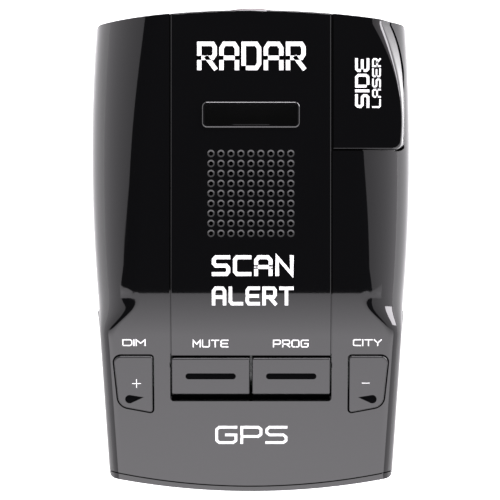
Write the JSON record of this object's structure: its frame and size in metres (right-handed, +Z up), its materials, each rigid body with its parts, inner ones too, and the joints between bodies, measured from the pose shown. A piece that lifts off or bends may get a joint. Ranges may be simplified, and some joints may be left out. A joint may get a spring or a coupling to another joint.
{
  "type": "radar detector",
  "caption": "Compact windscreen radar detector: glossy case sloping down to the driver, bracket slot, speaker grille, side light-sensor pod, spring-back keys, horn antenna and display inside.",
  "frame": {"origin": "middle of the flat base, on the plane it lies on; the front and rear ends are equally far away", "axes": "+X to the right as the driver sees it, +Y forward towards the road, +Z up out of the speaker grille"},
  "size_m": [0.0698, 0.1062, 0.0323],
  "materials": {
    "gloss_black": "high gloss injection-moulded ABS",
    "key_black": "gloss moulded ABS",
    "base_black": "fine spark-eroded texture",
    "smoked_window": "polished infrared-passing acrylic",
    "clear_lens": "polished",
    "display_tint": "polished smoked acrylic",
    "label_paper": "matte printed foil",
    "screw_steel": "zinc plated",
    "socket_black": "satin nylon",
    "spring_steel": "bright strip",
    "mesh_black": "woven dust cloth",
    "foam_black": "closed cell foam",
    "speaker_steel": "black coated",
    "cone_paper": "pressed pulp",
    "magnet_ceramic": "sintered ferrite",
    "board_green": "solder mask",
    "cast_metal": "die cast",
    "chip_black": "moulded epoxy",
    "can_metal": "drawn can",
    "tin_plate": "tin plated",
    "patch_ceramic": "silvered dielectric",
    "brass_turned": "turned",
    "socket_ivory": "moulded nylon",
    "switch_black": "moulded nylon",
    "plunger_white": "moulded acetal",
    "display_glass": "polished",
    "ribbon_amber": "polyimide film",
    "diode_black": "clear dyed epoxy",
    "lead_red": "PVC insulation"
  },
  "bodies": {
    "housing": {"lower_case": "base_black", "upper_case": "gloss_black", "centre_panel": "gloss_black", "laser_pod": "gloss_black", "front_window": "smoked_window", "front_lens": "clear_lens", "rear_bezel": "gloss_black", "display_window": "display_tint", "rating_label": "label_paper", "case_screws": "screw_steel", "bracket_socket": "socket_black", "bracket_spring": "spring_steel", "speaker_mesh": "mesh_black", "speaker_gasket": "foam_black", "speaker_frame": "speaker_steel", "speaker_cone": "cone_paper", "speaker_magnet": "magnet_ceramic", "main_board": "board_green", "main_board_screws": "screw_steel", "horn_antenna": "cast_metal", "mixer_block": "cast_metal", "mixer_cover": "tin_plate", "horn_screws": "screw_steel", "processor_chip": "chip_black", "board_capacitors": "can_metal", "backup_cell": "tin_plate", "flex_sockets": "socket_ivory", "gps_board": "board_green", "gps_patch": "patch_ceramic", "gps_shield_can": "tin_plate", "gps_standoffs": "brass_turned", "key_board": "board_green", "key_board_screws": "screw_steel", "key_switch_bodies": "switch_black", "display_glass": "display_glass", "display_frame": "speaker_steel", "display_ribbon": "ribbon_amber", "key_ribbon": "ribbon_amber", "laser_board": "board_green", "laser_board_screws": "screw_steel", "front_photodiode": "diode_black", "rear_photodiode": "diode_black", "laser_ribbon": "ribbon_amber", "power_jack": "switch_black", "power_jack_contact": "brass_turned", "usb_socket": "tin_plate", "usb_tongue": "switch_black", "power_switch_body": "tin_plate", "speaker_leads": "lead_red"},
    "mute_key": {"mute_button": "key_black", "mute_plunger": "plunger_white"},
    "prog_key": {"prog_button": "key_black", "prog_plunger": "plunger_white"},
    "plus_key": {"plus_button": "key_black", "plus_plunger": "plunger_white"},
    "minus_key": {"minus_button": "key_black", "minus_plunger": "plunger_white"},
    "power_knob": {"power_slider": "switch_black"}
  },
  "joints": [
    {"name": "mute_press", "type": "slide", "parent": "housing", "child": "mute_key", "axis": [0, 0.2419, -0.9703], "range_m": [0, 0.0005], "stiffness_N_per_m": 2000, "springref_m": -0.0003},
    {"name": "prog_press", "type": "slide", "parent": "housing", "child": "prog_key", "axis": [0, 0.2419, -0.9703], "range_m": [0, 0.0005], "stiffness_N_per_m": 2000, "springref_m": -0.0003},
    {"name": "plus_press", "type": "slide", "parent": "housing", "child": "plus_key", "axis": [0, 0.2419, -0.9703], "range_m": [0, 0.0005], "stiffness_N_per_m": 2000, "springref_m": -0.0003},
    {"name": "minus_press", "type": "slide", "parent": "housing", "child": "minus_key", "axis": [0, 0.2419, -0.9703], "range_m": [0, 0.0005], "stiffness_N_per_m": 2000, "springref_m": -0.0003},
    {"name": "power_slide", "type": "slide", "parent": "housing", "child": "power_knob", "axis": [0, 1, 0], "range_m": [0, 0.002]}
  ]
}
